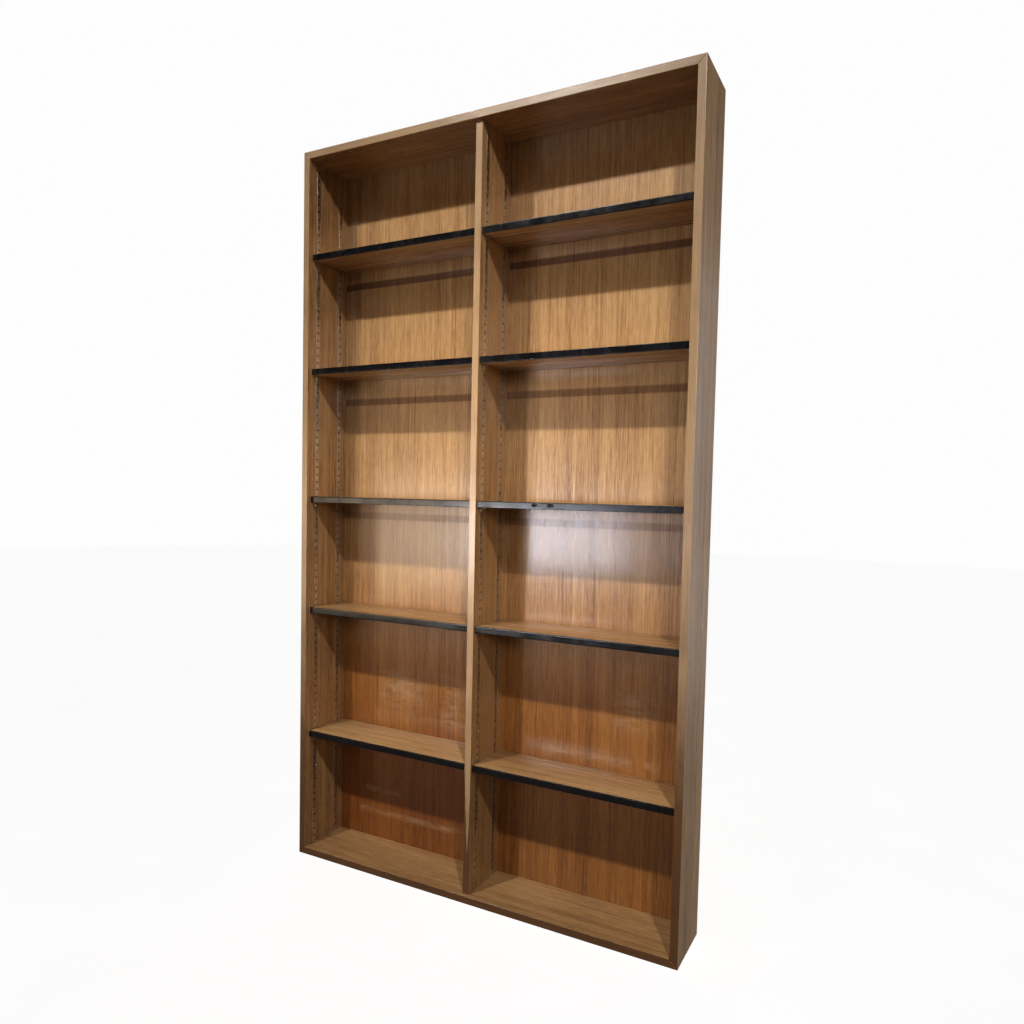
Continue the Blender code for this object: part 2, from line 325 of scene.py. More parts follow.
class Finish:
    """A material drawn node by node, in the coordinates of the bookcase at rest."""

    def __init__(self, name):
        self.material = bpy.data.materials.new(name)
        self.material.use_nodes = True
        self.tree = self.material.node_tree
        self.tree.nodes.clear()
        self.coordinates = self.tree.nodes.new("ShaderNodeTexCoord")
        self.place = self.coordinates.outputs["Object"]

    def add(self, kind, inputs=(), output=0, **settings):
        """Add a node, feed its inputs with values or sockets and return an output."""
        made = self.tree.nodes.new(kind)
        for key, value in settings.items():
            setattr(made, key, value)
        for key, value in dict(inputs).items():
            if isinstance(value, bpy.types.NodeSocket):
                self.tree.links.new(value, made.inputs[key])
            else:
                made.inputs[key].default_value = value
        return made.outputs[output]

    def sum(self, first, second):
        return self.add("ShaderNodeMath", {0: first, 1: second}, operation="ADD")

    def times(self, first, second):
        return self.add("ShaderNodeMath", {0: first, 1: second}, operation="MULTIPLY")

    def spread(self, value, low, high, new_low=0.0, new_high=1.0, smooth=False):
        """Map a range to another one, held at its ends."""
        inputs = {"Value": value, "From Min": low, "From Max": high,
                  "To Min": new_low, "To Max": new_high}
        kind = "SMOOTHSTEP" if smooth else "LINEAR"
        return self.add("ShaderNodeMapRange", inputs, interpolation_type=kind)

    def between(self, value, rise, fall):
        """1 between a smooth rise and a smooth fall, 0 outside them."""
        return self.times(self.spread(value, *rise, smooth=True),
                          self.spread(value, *fall, 1.0, 0.0, smooth=True))

    def blend(self, share, first, second, how="MIX"):
        """Mix two colours."""
        inputs = {0: share, 6: first, 7: second}
        return self.add("ShaderNodeMix", inputs, 2, data_type="RGBA", blend_type=how)

    def apart(self, vector):
        """The three parts of a vector."""
        made = self.tree.nodes.new("ShaderNodeSeparateXYZ")
        self.tree.links.new(vector, made.inputs[0])
        return made.outputs

    def tint(self, share, colour, shade):
        """Multiply a colour by another one, by a share."""
        return self.blend(share, colour, (*shade, 1.0), "MULTIPLY")

    def stretched(self, scale, offset=(0.0, 0.0, 0.0), place=None):
        """Coordinates moved and scaled along each axis."""
        inputs = {"Vector": place or self.place, "Location": offset, "Scale": scale}
        return self.add("ShaderNodeMapping", inputs)

    def noise(self, vector, scale, detail=2.0, roughness=0.5, distortion=0.0):
        inputs = {"Vector": vector, "Scale": scale, "Detail": detail,
                  "Roughness": roughness, "Distortion": distortion}
        return self.add("ShaderNodeTexNoise", inputs)

    def patch(self, low, high, soft):
        """A soft-edged box: 1 between two corners in X and Z, 0 outside."""
        parts = self.apart(self.place)
        share = 1.0
        for part, start, end in ((parts[0], low[0], high[0]),
                                 (parts[2], low[1], high[1])):
            share = self.times(share, self.between(
                part, (start - soft, start + soft), (end - soft, end + soft)))
        return share

    def finish(self, shader_inputs, height=None, depth=0.0003, strength=1.0):
        """Close the tree with a Principled shader, over a bump if a height is given."""
        inputs = dict(shader_inputs)
        if height is not None:
            bump = self.add("ShaderNodeBump", {
                "Height": height, "Strength": strength, "Distance": depth})
            inputs["Normal"] = bump
            if "Coat Weight" in inputs:
                inputs["Coat Normal"] = bump
        shader = self.add("ShaderNodeBsdfPrincipled", inputs)
        output = self.tree.nodes.new("ShaderNodeOutputMaterial")
        self.tree.links.new(shader, output.inputs["Surface"])
        return self.material


def veneer(name, colours, along, offset=(0.0, 0.0, 0.0), tone=0.0, leaf=0.0,
           gloss=0.38, coat=0.19, band=0.0, marks_and_painted_light=None, shaded_low=True):
    """Satin lacquered walnut veneer whose grain runs along an axis, 0, 1 or 2.

    tone lightens or darkens it, leaf is the width of a veneer leaf, band is the
    share by which front edges turn to the solid wood band, the marks function draws
    wear, painted shade and painted sheen, and the last flag says whether the band
    gets painted shade near the floor, darker and browner there.
    """
    wood = Finish(name)
    def squeezed(by):
        return [by if axis == along else 1.0 for axis in range(3)]

    squeeze = squeezed(GRAIN_SQUEEZE)
    parts = wood.apart(wood.place)

    place = wood.place
    leaf_tone = 0.0
    if leaf:
        number = wood.add("ShaderNodeMath", {0: wood.times(parts[0], 1.0 / leaf)},
                          operation="FLOOR")
        shift = wood.add("ShaderNodeCombineXYZ", {0: number, 1: number, 2: number})
        random_leaf = wood.add("ShaderNodeTexWhiteNoise", {"Vector": shift}, 0)
        leaf_tone = wood.spread(random_leaf, 0.0, 1.0, -0.05, 0.05)
        jump = wood.add("ShaderNodeVectorMath", {0: shift, 1: (0.0, 0.37, 0.61)},
                        operation="MULTIPLY")
        place = wood.add("ShaderNodeVectorMath", {0: place, 1: jump}, operation="ADD")

    # The grain wanders: a slow drift across it, a few millimetres wide.
    slow = wood.stretched([2.6 * s ** 0.45 for s in squeeze], offset, place)
    drift = wood.noise(slow, 1.0, 2.0, 0.5)
    drift_width = wood.spread(drift, 0.25, 0.75, -0.011, 0.011)
    drifted = wood.add("ShaderNodeVectorMath",
                       {0: place, 1: wood.add("ShaderNodeCombineXYZ", {
                           i: drift_width for i in range(3) if i != along})},
                       operation="ADD")
    grain = wood.stretched(squeeze, offset, drifted)

    ribbon = wood.noise(grain, *RIBBON)
    streak = wood.noise(grain, *STREAK)
    line = wood.noise(grain, *LINE)
    fleck = wood.noise(wood.stretched(squeezed(0.30), offset, place), *FLECK)
    pores = wood.noise(wood.stretched(squeezed(0.06), offset, drifted), *PORES)
    pore = wood.spread(pores, 0.60, 0.70)
    cloud = wood.noise(wood.stretched((1.0, 1.0, 1.0), offset, place), *CLOUD)

    value = 0.5 + tone
    for field, share in zip((ribbon, streak, line, fleck, cloud), GRAIN_SHARES):
        value = wood.sum(value, wood.times(wood.sum(field, -0.5), share))
    value = wood.sum(value, leaf_tone)
    value = wood.sum(value, wood.times(pore, PORE_SHARE))

    ramp = wood.tree.nodes.new("ShaderNodeValToRGB")
    stops = ramp.color_ramp.elements
    stops[0].position = TONE_STOPS[0]
    stops[0].color = (*colours.veneer_dark, 1.0)
    stops[1].position = TONE_STOPS[2]
    stops[1].color = (*colours.veneer_light, 1.0)
    middle = stops.new(TONE_STOPS[1])
    middle.color = (*colours.veneer_middle, 1.0)
    wood.tree.links.new(value, ramp.inputs[0])
    colour = ramp.outputs[0]

    gloss_value = wood.spread(streak, 0.3, 0.7, gloss + 0.05, gloss - 0.05)
    if band:
        # The solid band on the front edge has its own plainer, paler grain.
        facing = wood.apart(wood.coordinates.outputs["Normal"])
        front = wood.spread(facing[1], -0.45, -0.75)
        plain = wood.noise(grain, 520.0, 2.0, 0.6)
        shade = wood.spread(plain, 0.3, 0.7, 0.80, 1.16)
        mottle = wood.noise(wood.place, 5.0, 4.0, 0.65)
        patches = wood.spread(mottle, 0.35, 0.65, 0.84, 1.10)
        # Painted shade: towards the floor the band turns to the darker, browner low tint.
        band_shade_by_height = wood.spread(wood.sum(parts[2], wood.times(wood.sum(patches, -1.0), 0.5)),
                            0.34, 0.86, smooth=True)
        high = colours.band_colour if shaded_low else colours.band_bright
        low = colours.band_low_shade if shaded_low else colours.band_bright
        ground = wood.blend(band_shade_by_height, (*low, 1.0), (*high, 1.0))
        # Painted shade: every band a little darker towards the top.
        top_shade = wood.spread(parts[2], 1.55, 2.25, 1.0, 0.84, smooth=True)
        strength = wood.times(wood.times(shade, patches), top_shade)
        tinted = wood.add("ShaderNodeVectorMath", {0: ground, "Scale": strength},
                          operation="SCALE")
        colour = wood.blend(wood.times(front, band), colour, tinted)
    if marks_and_painted_light:
        colour, gloss_value = marks_and_painted_light(wood, colour, gloss_value)

    height = wood.sum(wood.times(streak, 0.5), wood.times(line, 0.35))
    height = wood.sum(height, wood.times(pore, -0.5))
    return wood.finish({
        "Base Color": colour,
        "Roughness": gloss_value,
        "Specular IOR Level": 0.35,
        "Coat Weight": wood.spread(line, 0.35, 0.65, 1.0, 0.70),
        "Coat Roughness": wood.spread(streak, 0.35, 0.65, coat - 0.05, coat + 0.06),
        "Coat IOR": 1.48,
    }, height, 0.00016, 0.55)


def black_lacquer(name, colours):
    """Black lacquered edge strip, faintly grained, dusty and scratched."""
    lacquer = Finish(name)
    lengthwise = lacquer.stretched((0.03, 1.0, 1.0))
    fibre = lacquer.noise(lengthwise, 700.0, 3.0, 0.6)
    dust = lacquer.noise(lacquer.place, 14.0, 5.0, 0.65)
    scratch = lacquer.spread(lacquer.noise(lengthwise, 1500.0, 1.0, 0.4), 0.66, 0.72)
    colour = lacquer.blend(
        lacquer.spread(dust, 0.50, 0.80, 0.0, 0.22),
        (*colours.lipping, 1.0), (0.014, 0.014, 0.019, 1.0))
    colour = lacquer.blend(
        lacquer.times(scratch, 0.35), colour, (0.07, 0.07, 0.08, 1.0))
    gloss = lacquer.spread(dust, 0.35, 0.70, 0.17, 0.34)
    return lacquer.finish({
        "Base Color": colour, "Roughness": gloss, "Specular IOR Level": 0.5,
    }, fibre, 0.00006, 0.4)


def plated_steel(name, colour, tarnish, gloss):
    """Plated steel, dulled and spotted by age."""
    steel = Finish(name)
    drawn = steel.noise(steel.stretched((1.0, 1.0, 0.05)), 900.0, 2.0, 0.5)
    spots = steel.noise(steel.place, 160.0, 4.0, 0.7)
    age = steel.noise(steel.place, 9.0, 3.0, 0.6)
    share = steel.times(steel.spread(spots, 0.45, 0.70),
                        steel.spread(age, 0.3, 0.7, 0.3, 1.0))
    paint = steel.blend(share, (*colour, 1.0), (*tarnish, 1.0))
    dull = steel.spread(spots, 0.3, 0.7, gloss, gloss + 0.16)
    return steel.finish({
        "Base Color": paint, "Metallic": 1.0, "Roughness": dull,
    }, drawn, 0.00008, 0.4)


def beech(name):
    """Plain beech of the hidden splines."""
    wood = Finish(name)
    fleck = wood.noise(wood.stretched((1.0, 0.08, 1.0)), 500.0, 2.0, 0.6)
    colour = wood.blend(wood.spread(fleck, 0.35, 0.65), (0.48, 0.30, 0.16, 1.0),
                        (0.66, 0.47, 0.29, 1.0))
    return wood.finish({"Base Color": colour, "Roughness": 0.62}, fleck, 0.0002, 0.5)


# ---------- helpers

def settings():
    scene = bpy.context.scene
    return scene.bookcase_sizes, scene.bookcase_finish, scene.bookcase_stage


def paint(node, material):
    """Give a CAD node its material through its object's slots."""
    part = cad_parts[node]
    for slot in part.material_slots:
        slot.link = "OBJECT"
        slot.material = material


def piece(name, bm, materials, body):
    """Make a piece of a finished bmesh and let it ride on its body."""
    mesh = bpy.data.meshes.new(name)
    bmesh.ops.recalc_face_normals(bm, faces=bm.faces)
    bm.to_mesh(mesh)
    bm.free()
    for material in materials:
        mesh.materials.append(material)
    made = bpy.data.objects.new(name, mesh)
    bpy.context.scene.collection.objects.link(made)
    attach(made, body)
    return made


def shade_by_angle(made, degrees=35.0):
    made.data.shade_smooth()
    with bpy.context.temp_override(object=made, active_object=made,
                                   selected_editable_objects=[made]):
        bpy.ops.object.shade_smooth_by_angle(angle=math.radians(degrees))


def add_box(bm, low, high):
    """Add a box between two corners."""
    low = Vector(low)
    high = Vector(high)
    place = Matrix.Translation((low + high) / 2) @ Matrix.Diagonal((*(high - low), 1.0))
    bmesh.ops.create_cube(bm, size=1.0, matrix=place)


def skin(bm, rings):
    """Close a row of like rings into one solid."""
    for first, second in zip(rings, rings[1:]):
        for i in range(len(first)):
            j = (i + 1) % len(first)
            bm.faces.new((first[i], first[j], second[j], second[i]))
    bm.faces.new(rings[0])
    bm.faces.new(reversed(rings[-1]))


def add_ball(bm, place, around, levels):
    """Add a closed unit ball, placed and squashed by a matrix."""
    def point(turn, down):
        across = math.sin(down)
        return bm.verts.new(place @ Vector((
            across * math.sin(turn), across * math.cos(turn), math.cos(down))))

    turns = [2 * math.pi * i / around for i in range(around)]
    rings = [[point(turn, math.pi * j / levels) for turn in turns]
             for j in range(1, levels)]
    top, bottom = point(0.0, 0.0), point(0.0, math.pi)
    for i in range(around):
        j = (i + 1) % around
        bm.faces.new((top, rings[0][j], rings[0][i]))
        for upper, lower in zip(rings, rings[1:]):
            bm.faces.new((upper[j], lower[j], lower[i], upper[i]))
        bm.faces.new((rings[-1][j], bottom, rings[-1][i]))


def ease(bm, radius, segments=2):
    """Round the sharp edges."""
    edges = [edge for edge in bm.edges
             if len(edge.link_faces) == 2 and edge.calc_face_angle() > 0.5]
    bmesh.ops.bevel(bm, geom=edges, offset=radius, segments=segments, profile=0.5,
                    affect="EDGES")


# ---------- carcass

def outer_lines_and_sheen(wood, colour, gloss):
    """Two faint lines, and painted sheen on the outer face of the right side: grey patches
    that grow stronger towards the top.
    """
    parts = wood.apart(wood.place)
    facing = wood.apart(wood.coordinates.outputs["Normal"])
    outer = wood.spread(facing[0], 0.5, 0.9)
    # Painted sheen: grey patches, stronger towards the top, for the bright surroundings
    # the side mirrors.
    cloud = wood.noise(wood.stretched((1.0, 1.0, 0.25)), 9.0, 4.0, 0.6)
    sheen_cloud = wood.spread(cloud, 0.3, 0.7)
    height = wood.spread(parts[2], 0.2, 1.9, 0.25, 1.0)
    painted_sheen = wood.times(wood.times(sheen_cloud, height), 0.35)
    colour = wood.blend(wood.times(outer, painted_sheen), colour, (0.30, 0.24, 0.20, 1.0))
    for level, share in SIDE_LINES:
        line = wood.between(parts[2], (level - 0.002, level), (level, level + 0.005))
        colour = wood.blend(wood.times(wood.times(outer, line), share), colour,
                            (0.12, 0.07, 0.04, 1.0))
    return colour, gloss


class BOOKCASE_OT_carcass(bpy.types.Operator):
    """Give the five carcass boards their veneer and the splines their beech"""

    bl_idname = "bookcase.carcass"
    bl_label = "Carcass boards"

    def execute(self, context):
        _, colours, _ = settings()
        for node, along, offset, tone, marks_and_painted_light in (
                ("left_side", 2, (3.1, 0.4, 1.7), -0.05, None),
                ("right_side", 2, (7.7, 2.2, 5.1), -0.04, outer_lines_and_sheen),
                ("top_panel", 0, (1.3, 4.1, 2.2), -0.12, None),
                ("bottom_panel", 0, (5.9, 1.2, 0.7), 0.03, None),
                ("centre_divider", 2, (2.9, 6.3, 3.3), 0.02, None)):
            name = "veneer_" + node.removeprefix("centre_")
            paint(node, veneer(name, colours, along, offset, tone=tone, band=0.9,
                               marks_and_painted_light=marks_and_painted_light))
        splines = beech("beech_spline_wood")
        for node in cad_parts:
            if node.endswith("corner_spline"):
                paint(node, splines)
        return {"FINISHED"}


def back_shade_and_wear(wood, colour, gloss):
    """Painted shade: darker and browner low down, more so at the left bay's foot. Dark
    lines where shelves once stood; scuffs. Front face only.
    """
    _, colours, _ = settings()
    low_panel, high_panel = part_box("back_panel")
    half_way = (low_panel.y + high_panel.y) / 2
    parts = wood.apart(wood.place)
    inside = wood.spread(parts[1], half_way - 0.001, half_way + 0.001, 1.0, 0.0)
    # Painted shade: the panel turns darker and browner towards the floor, where less light
    # reaches.
    low_shade_share = wood.spread(parts[2], 0.52, 1.15, smooth=True)
    brown = wood.blend(low_shade_share, (0.80, 0.55, 0.31, 1.0), WHITE)
    colour = wood.blend(inside, colour, brown, "MULTIPLY")
    # Painted shade: the lowest left compartment is darker and browner still.
    foot_left_shade = wood.times(wood.spread(parts[2], 0.30, 0.55, 1.0, 0.0, smooth=True),
                           wood.spread(parts[0], -0.05, 0.05, 1.0, 0.0))
    colour = wood.tint(wood.times(foot_left_shade, inside), colour, (0.76, 0.61, 0.50))
    for level, share in SHELF_LINES:
        line = wood.times(inside, wood.between(
            parts[2], (level - 0.015, level - 0.009), (level + 0.007, level + 0.015)))
        colour = wood.tint(wood.times(line, share), colour, (0.30, 0.20, 0.20))
        gloss = wood.sum(gloss, wood.times(line, 0.25))
    for low, high, soft, share in SCUFFS:
        middle_x = (low[0] + high[0]) / 2
        flat = wood.stretched((0.45, 1.0, 1.6), (middle_x * 9, 0.0, 0.0))
        broken = wood.noise(flat, 38.0, 4.0, 0.7)
        rubbed = wood.times(wood.patch(low, high, soft),
                            wood.times(wood.spread(broken, 0.36, 0.66), inside))
        colour = wood.blend(wood.times(rubbed, share), colour, (*colours.scuff, 1.0))
        gloss = wood.sum(gloss, wood.times(rubbed, 0.12))
    return colour, gloss


class BOOKCASE_OT_back_panel(bpy.types.Operator):
    """Give the back panel its leaves of upright veneer"""

    bl_idname = "bookcase.back_panel"
    bl_label = "Back panel"

    def execute(self, context):
        _, colours, _ = settings()
        paint("back_panel", veneer("veneer_back_panel", colours, 2, (0.6, 9.3, 4.4),
                                   tone=0.06, leaf=0.165, gloss=0.34, coat=0.14,
                                   marks_and_painted_light=back_shade_and_wear))
        return {"FINISHED"}


class BOOKCASE_OT_back_pins(bpy.types.Operator):
    """Drive the pins that hold the back panel into its rebates"""

    bl_idname = "bookcase.back_pins"
    bl_label = "Back pins"

    def execute(self, context):
        sizes, colours, _ = settings()
        low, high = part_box("back_panel")
        places = []
        for x in (low.x + PIN_INSET, high.x - PIN_INSET):
            count = round((high.z - low.z) / sizes.pin_every)
            places += [(x, low.z + (i + 0.5) * (high.z - low.z) / count)
                       for i in range(count)]
        for z in (low.z + PIN_INSET, high.z - PIN_INSET):
            count = round((high.x - low.x) / sizes.pin_every)
            places += [(low.x + (i + 0.5) * (high.x - low.x) / count, z)
                       for i in range(count)]
        bm = bmesh.new()
        for x, z in places:
            place = Matrix.Translation((x, high.y, z)) @ Matrix.Diagonal(
                (*PIN_HEAD, 1.0))
            add_ball(bm, place, 10, 6)
        made = piece("back_panel_pins", bm,
                     [plated_steel("pin_steel", colours.steel, (0.10, 0.07, 0.05), 0.42)],
                     "carcass")
        made.data.shade_smooth()
        return {"FINISHED"}


class BOOKCASE_OT_divider_edge(bpy.types.Operator):
    """Glue the band on the divider's front edge, torn away near its foot"""

    bl_idname = "bookcase.divider_edge"
    bl_label = "Divider edge"

    tear: FloatProperty(
        name="Tear",
        description="Height at which the band starts to be torn away",
        default=0.42, unit="LENGTH")
    tear_foot: FloatProperty(
        name="Tear's foot",
        description="Height at which the last point of the band ends",
        default=0.155, unit="LENGTH")

    def execute(self, context):
        sizes, colours, _ = settings()
        low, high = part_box("centre_divider")
        half = (high.x - low.x) / 2 - BAND_MARGIN
        front = low.y - sizes.band
        rise = high.z - BAND_MARGIN - self.tear_foot
        bm = bmesh.new()
        rows = []
        for i in range(BAND_STEPS + 1):
            z = self.tear_foot + rise * (i / BAND_STEPS) ** 1.6
            share = min(1.0, (z - self.tear_foot) / (self.tear - self.tear_foot))
            ragged = 0.0016 * noise.noise(Vector((3.7, 0.0, z * 90.0))) * (share < 1.0)
            left = -half + (1.0 - share) * half * 1.15 + ragged
            right = half - (1.0 - share) ** 2.2 * half * 0.75 + ragged * 0.6
            right = max(right, left + BAND_MARGIN)
            rows.append([bm.verts.new((x, y, z)) for x, y in (
                (left, low.y), (left, front), (right, front), (right, low.y))])
        skin(bm, rows)
        band = veneer("veneer_divider_band", colours, 2, (4.2, 8.8, 1.1), tone=0.02,
                      gloss=0.42, band=0.9, shaded_low=False)
        piece("divider_front_band", bm, [band], "carcass")
        return {"FINISHED"}


# ---------- standards

def slot_height_above(foot, sizes):
    """Height of the lowest slot above the foot of a standard."""
    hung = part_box("shelf_right_5_clip_left")[1].z - CLIP_RISE
    return (hung - foot) % sizes.pitch


def channel_mesh(low, high, facing, sizes):
    """A folded channel let into a face, pierced by slots with rolled rims."""
    bm = bmesh.new()
    face_x = high.x if facing > 0 else low.x
    depth = high.x - low.x
    middle = (low.y + high.y) / 2
    half = (high.y - low.y) / 2
    first = low.z + slot_height_above(low.z, sizes)
    count = int((high.z - first - sizes.slot_height / 2) / sizes.pitch) + 1
    half_slot = sizes.slot_width / 2
    tall = sizes.slot_height / 2
    flat = half - sizes.fold

    def vert(out, across, z):
        return bm.verts.new((face_x + facing * out, middle + across, z))

    def hole(grow, out, z):
        """Eight corners of a slot, going round from its lower left."""
        wide = half_slot + grow
        high_half = tall + grow
        outline = [
            (-wide + SLOT_CORNER, -high_half), (wide - SLOT_CORNER, -high_half),
            (wide, -high_half + SLOT_CORNER), (wide, high_half - SLOT_CORNER),
            (wide - SLOT_CORNER, high_half), (-wide + SLOT_CORNER, high_half),
            (-wide, high_half - SLOT_CORNER), (-wide, -high_half + SLOT_CORNER)]
        return [vert(out, y, z + up) for y, up in outline]

    # The fold's outline from the flat face round to the back of the flange.
    turn = [(-sizes.fold * (1 - math.cos(a)), flat + sizes.fold * math.sin(a))
            for a in (math.radians(22.5 * i) for i in range(1, 5))]
    turn.append((-depth, half))
    levels = [low.z]
    for i in range(count):
        z = first + i * sizes.pitch
        levels += [z - tall + SLOT_CORNER, z + tall - SLOT_CORNER]
        if i < count - 1:
            levels.append(z + sizes.pitch / 2)
    levels.append(high.z)

    edges = {}
    for sign in (-1, 1):
        columns = [[vert(0.0, sign * flat, z) for z in levels]]
        for out, across in turn:
            columns.append([vert(out, sign * across, z) for z in levels])
        for left, right in zip(columns, columns[1:]):
            for i in range(len(levels) - 1):
                bm.faces.new((left[i], right[i], right[i + 1], left[i + 1]))
        edges[sign] = columns[0]

    across = half_slot - SLOT_CORNER
    boundary = [vert(0.0, -across, low.z), vert(0.0, across, low.z)]
    for i in range(count):
        z = first + i * sizes.pitch
        top = levels[3 * i + 3]
        upper = [vert(0.0, -across, top), vert(0.0, across, top)]
        rim_ring = hole(SLOT_RIM, 0.0, z)
        mid_ring = hole(SLOT_RIM * 0.3, -SLOT_DISH, z)
        slot_ring = hole(0.0, -SLOT_RIM, z)
        left = edges[-1][3 * i: 3 * i + 4]
        right = edges[1][3 * i: 3 * i + 4]
        bm.faces.new((boundary[0], boundary[1], rim_ring[1], rim_ring[0]))
        bm.faces.new((boundary[1], right[0], right[1], rim_ring[2], rim_ring[1]))
        bm.faces.new((right[1], right[2], rim_ring[3], rim_ring[2]))
        bm.faces.new((right[2], right[3], upper[1], rim_ring[4], rim_ring[3]))
        bm.faces.new((upper[1], upper[0], rim_ring[5], rim_ring[4]))
        bm.faces.new((upper[0], left[3], left[2], rim_ring[6], rim_ring[5]))
        bm.faces.new((left[2], left[1], rim_ring[7], rim_ring[6]))
        bm.faces.new((left[1], left[0], boundary[0], rim_ring[0], rim_ring[7]))
        for outer, inner in ((rim_ring, mid_ring), (mid_ring, slot_ring)):
            for j in range(8):
                k = (j + 1) % 8
                bm.faces.new((outer[j], outer[k], inner[k], inner[j]))
        boundary = upper
    bmesh.ops.recalc_face_normals(bm, faces=bm.faces)
    sample = max(bm.faces, key=lambda face: face.calc_area())
    if sample.normal.x * facing < 0 and abs(sample.normal.x) > 0.5:
        bmesh.ops.reverse_faces(bm, faces=bm.faces)
    return bm, first


def add_nails(bm, low, high, facing, first, sizes):
    """Add the nail heads, halfway between two slots."""
    face_x = high.x if facing > 0 else low.x
    middle = (low.y + high.y) / 2
    level = first + sizes.pitch * 1.5
    while level < high.z - sizes.pitch:
        place = Matrix.Translation((face_x, middle, level)) @ Matrix.Diagonal(
            (NAIL_HEIGHT, sizes.nail_radius, sizes.nail_radius, 1.0))
        add_ball(bm, place, 14, 8)
        level += sizes.pitch * sizes.nail_every


class BOOKCASE_OT_standards(bpy.types.Operator):
    """Fold, pierce and nail the eight slotted shelf standards"""

    bl_idname = "bookcase.standards"
    bl_label = "Shelf standards"

    def execute(self, context):
        sizes, colours, _ = settings()
        steel = plated_steel("standard_steel", colours.steel, (0.19, 0.14, 0.10), 0.30)
        for face, facing in FACING.items():
            for row in ROWS:
                node = f"standard_{face}_{row}"
                low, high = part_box(node)
                bm, first = channel_mesh(low, high, facing, sizes)
                mesh = bpy.data.meshes.new(node)
                bm.to_mesh(mesh)
                bm.free()
                made = bpy.data.objects.new(f"{node}_channel", mesh)
                context.scene.collection.objects.link(made)
                wall = made.modifiers.new("sheet", "SOLIDIFY")
                wall.thickness = sizes.sheet
                wall.offset = -1.0
                context.view_layer.update()
                graph = context.evaluated_depsgraph_get()
                solid = bpy.data.meshes.new_from_object(made.evaluated_get(graph))
                bpy.data.objects.remove(made, do_unlink=True)
                bm = bmesh.new()
                bm.from_mesh(solid)
                add_nails(bm, low, high, facing, first, sizes)
                strip = piece(f"{node}_strip", bm, [steel], "carcass")
                shade_by_angle(strip, 40.0)
                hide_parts(node)
        return {"FINISHED"}


# ---------- shelves

class BOOKCASE_OT_shelves(bpy.types.Operator):
    """Veneer the ten shelf boards, with their edges eased"""

    bl_idname = "bookcase.shelves"
    bl_label = "Shelf boards"

    def execute(self, context):
        sizes, colours, _ = settings()
        draw = random.Random(SEED)
        paler = {("left", 5): 0.22}
        for bay, number in SHELVES:
            node = f"shelf_{bay}_{number}"
            low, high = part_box(node)
            bm = bmesh.new()
            add_box(bm, low, high)
            ease(bm, sizes.arris)
            offset = tuple(draw.uniform(0.0, 9.0) for _ in range(3))
            tone = draw.uniform(-0.01, 0.07) + paler.get((bay, number), 0.0)
            wood = veneer(f"veneer_{node}", colours, 0, offset, tone=tone,
                          gloss=0.42, coat=0.27)
            board = piece(f"{node}_board", bm, [wood], f"{bay}_shelf_{number}")
            shade_by_angle(board)
            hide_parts(node)
        return {"FINISHED"}


def chip_depth(x, z, chips):
    """How deep the lipping is chipped at a place."""
    depth = 0.0
    for chip_x, chip_z, wide, tall, deep in chips:
        away = ((x - chip_x) / wide) ** 2 + ((z - chip_z) / tall) ** 2
        depth = max(depth, deep * max(0.0, 1.0 - away))
    return depth


class BOOKCASE_OT_lippings(bpy.types.Operator):
    """Glue the ten black lippings on, with their knocks"""

    bl_idname = "bookcase.lippings"
    bl_label = "Black lippings"

    def execute(self, context):
        _, colours, _ = settings()
        lacquer = black_lacquer("lipping_lacquer", colours)
        draw = random.Random(SEED + 1)
        for bay, number in SHELVES:
            node = f"shelf_{bay}_{number}_front_edge"
            low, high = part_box(node)
            chips = [(draw.uniform(low.x + 0.03, high.x - 0.03),
                      draw.choice((low.z, high.z)),
                      draw.uniform(0.002, 0.006), draw.uniform(0.0012, 0.003),
                      draw.uniform(0.0004, 0.0009)) for _ in range(CHIPS_EACH)]
            if (bay, number) == ("right", 3):
                middle = (low.z + high.z) / 2
                chips += [(0.205, middle + 0.003, 0.010, 0.0035, 0.0016),
                          (0.256, middle + 0.003, 0.011, 0.0035, 0.0018)]
            bm = bmesh.new()
            radius = LIPPING_RADIUS
            tall = high.z - low.z - 2 * radius
            outline = []
            for i in range(4):
                a = math.radians(90.0 * i / 3)
                outline.append((radius * (1 - math.sin(a)), radius * (1 - math.cos(a))))
            front = [(y, low.z + up) for y, up in outline]
            front += [(0.0, low.z + radius + tall * i / LIPPING_ROWS)
                      for i in range(1, LIPPING_ROWS)]
            front += [(y, high.z - up) for y, up in reversed(outline)]
            columns = []
            for i in range(LIPPING_STEPS + 1):
                x = low.x + (high.x - low.x) * i / LIPPING_STEPS
                column = [bm.verts.new((x, high.y, low.z))]
                for inward, z in front:
                    knock = chip_depth(x, z, chips)
                    column.append(bm.verts.new((x, low.y + inward + knock, z)))
                column.append(bm.verts.new((x, high.y, high.z)))
                columns.append(column)
            skin(bm, columns)
            strip = piece(f"{node}_strip", bm, [lacquer], f"{bay}_shelf_{number}")
            shade_by_angle(strip)
            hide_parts(node)
        return {"FINISHED"}


